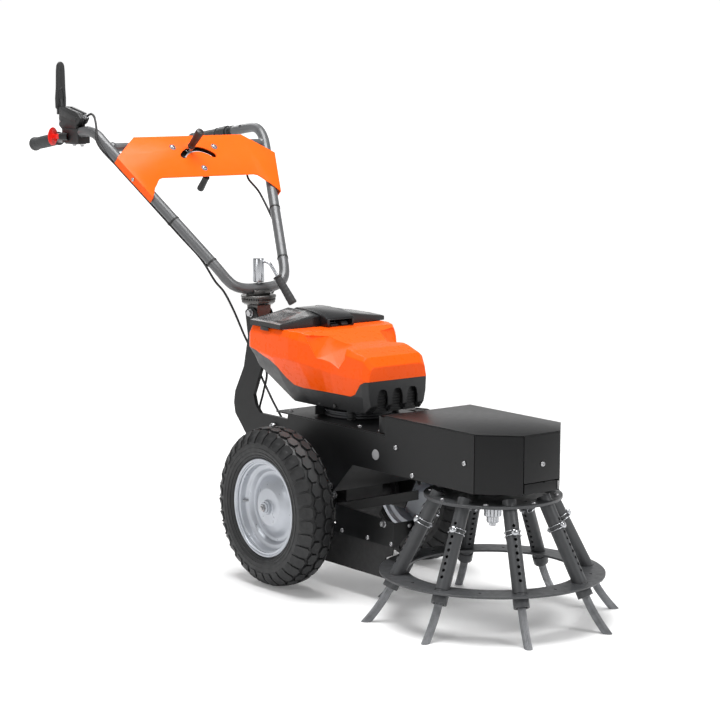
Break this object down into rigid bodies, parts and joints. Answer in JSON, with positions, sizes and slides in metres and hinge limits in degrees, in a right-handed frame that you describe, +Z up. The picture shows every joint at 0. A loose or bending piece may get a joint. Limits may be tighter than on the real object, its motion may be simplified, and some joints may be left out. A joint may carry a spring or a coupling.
{
  "type": "walk-behind weed brush",
  "caption": "Battery walk-behind weed brush: two-wheeled steel chassis, conical rotating wire-rope brush cage, belt drive, and a tilting, swivelling handlebar with control panel and levers.",
  "frame": {"origin": "on the ground, under the middle of the wheel axle", "axes": "+Z up, -Y the working direction with the brush in front, -X the operator's right hand"},
  "size_m": [0.6318, 1.9456, 1.287],
  "materials": {
    "orange_plastic": "moulded, satin gloss",
    "orange_paint": "powder coat, satin",
    "black_paint": "powder coat, satin",
    "cast_housing": "painted casting",
    "black_plastic": "moulded, fine grain",
    "grey_paint": "powder coat, satin",
    "cage_paint": "powder coat, dark grey",
    "silver_paint": "silver paint",
    "motor_alloy": "cast, dark",
    "steel": "machined",
    "chrome": "plated, bright",
    "rope_steel": "twisted wire",
    "tyre_rubber": "moulded tread",
    "soft_rubber": "matt",
    "red_plastic": "moulded"
  },
  "bodies": {
    "chassis": {"side_plate_right": "black_paint", "side_plate_left": "black_paint", "motor_deck": "black_paint", "belt_floor": "black_paint", "belt_cover": "black_paint", "transaxle": "cast_housing", "flap_bracket": "black_paint", "debris_flap": "soft_rubber", "handle_arm": "black_paint", "power_base": "black_plastic", "power_shell": "orange_plastic", "lid_bridge": "black_plastic", "motor": "motor_alloy", "battery_pack": "black_plastic", "spindle_bearing": "black_paint", "drive_belt": "soft_rubber", "control_cable_right": "soft_rubber", "control_cable_left": "soft_rubber"},
    "wheel_right": {"tyre_right": "tyre_rubber", "rim_right": "silver_paint"},
    "wheel_left": {"tyre_left": "tyre_rubber", "rim_left": "silver_paint"},
    "brush_head": {"brush_disc": "cage_paint", "brush_ring": "cage_paint", "spindle": "chrome", "driven_pulley": "steel", "brush_tube_1": "cage_paint", "brush_tube_2": "cage_paint", "brush_tube_3": "cage_paint", "brush_tube_4": "cage_paint", "brush_tube_5": "cage_paint", "brush_tube_6": "cage_paint", "brush_tube_7": "cage_paint", "brush_tube_8": "cage_paint", "brush_bundle_1": "rope_steel", "brush_bundle_2": "rope_steel", "brush_bundle_3": "rope_steel", "brush_bundle_4": "rope_steel", "brush_bundle_5": "rope_steel", "brush_bundle_6": "rope_steel", "brush_bundle_7": "rope_steel", "brush_bundle_8": "rope_steel"},
    "motor_shaft": {"motor_pulley": "steel"},
    "right_lid": {"lid_right": "black_plastic"},
    "left_lid": {"lid_left": "black_plastic"},
    "handle_post": {"swivel_base": "black_paint"},
    "handlebar": {"swivel_head": "black_paint", "handlebar_tube": "grey_paint", "control_panel": "orange_paint", "grip_right": "soft_rubber", "grip_left": "soft_rubber", "lever_perch_right": "black_plastic", "lever_perch_left": "black_plastic"},
    "clamp": {"clamp_crank": "chrome", "crank_grip": "black_plastic"},
    "drive_control": {"drive_lever": "black_plastic"},
    "brake_control": {"brake_lever": "black_plastic"},
    "latch": {"safety_latch": "red_plastic"},
    "shifter": {"shift_lever": "black_plastic"},
    "speed_control": {"speed_lever": "black_plastic"}
  },
  "joints": [
    {"name": "wheel_right_spin", "type": "hinge", "parent": "chassis", "child": "wheel_right", "pos_m": [-0.2316, 0, 0.2], "axis": [1, 0, 0], "continuous": true},
    {"name": "wheel_left_spin", "type": "hinge", "parent": "chassis", "child": "wheel_left", "pos_m": [0.2316, 0, 0.2], "axis": [1, 0, 0], "continuous": true},
    {"name": "brush_spin", "type": "hinge", "parent": "chassis", "child": "brush_head", "pos_m": [0, -0.5466, 0.25], "axis": [0, 0, 1], "continuous": true},
    {"name": "motor_spin", "type": "hinge", "parent": "chassis", "child": "motor_shaft", "pos_m": [0, -0.04, 0.36], "axis": [0, 0, 1], "continuous": true},
    {"name": "lid_right_open", "type": "hinge", "parent": "chassis", "child": "right_lid", "pos_m": [-0.106, 0.203, 0.64], "axis": [-1, 0, 0], "range_deg": [0, 95]},
    {"name": "lid_left_open", "type": "hinge", "parent": "chassis", "child": "left_lid", "pos_m": [0.106, 0.203, 0.64], "axis": [-1, 0, 0], "range_deg": [0, 95]},
    {"name": "handle_tilt", "type": "hinge", "parent": "chassis", "child": "handle_post", "pos_m": [0, 0.393, 0.629], "axis": [1, 0, 0], "range_deg": [-10, 10], "deforming": ["control_cable_right", "control_cable_left"]},
    {"name": "handle_swivel", "type": "hinge", "parent": "handle_post", "child": "handlebar", "pos_m": [0, 0.395, 0.667], "axis": [0, 0, 1], "range_deg": [-30, 30], "deforming": ["control_cable_right", "control_cable_left"]},
    {"name": "clamp_turn", "type": "hinge", "parent": "handlebar", "child": "clamp", "pos_m": [0, 0.395, 0.74], "axis": [0, 0, 1], "range_deg": [-70, 15]},
    {"name": "drive_lever_squeeze", "type": "hinge", "parent": "handlebar", "child": "drive_control", "pos_m": [-0.267, 0.93, 1.124], "axis": [-1, 0, 0], "range_deg": [0, 92], "stiffness_Nm_per_rad": 0.6, "springref_deg": -34.38},
    {"name": "brake_lever_squeeze", "type": "hinge", "parent": "handlebar", "child": "brake_control", "pos_m": [0.267, 0.934, 1.0513], "axis": [1, 0, 0], "range_deg": [0, 6], "stiffness_Nm_per_rad": 3, "springref_deg": -11.46},
    {"name": "safety_latch_push", "type": "slide", "parent": "handlebar", "child": "latch", "axis": [0.45, -0.893, 0], "range_m": [0, 0.006], "stiffness_N_per_m": 300, "springref_m": -0.004},
    {"name": "shift_lever_swing", "type": "hinge", "parent": "handlebar", "child": "shifter", "pos_m": [0, 0.6469, 1.00102], "axis": [0, -0.725, 0.6887], "range_deg": [-60, 24]},
    {"name": "speed_lever_swing", "type": "hinge", "parent": "handlebar", "child": "speed_control", "pos_m": [0.036, 0.66039, 1.00476], "axis": [1, 0, 0], "range_deg": [-14, 14]}
  ],
  "couplings": [
    {"joint": "motor_spin", "follows": "brush_spin", "ratio": 2}
  ]
}
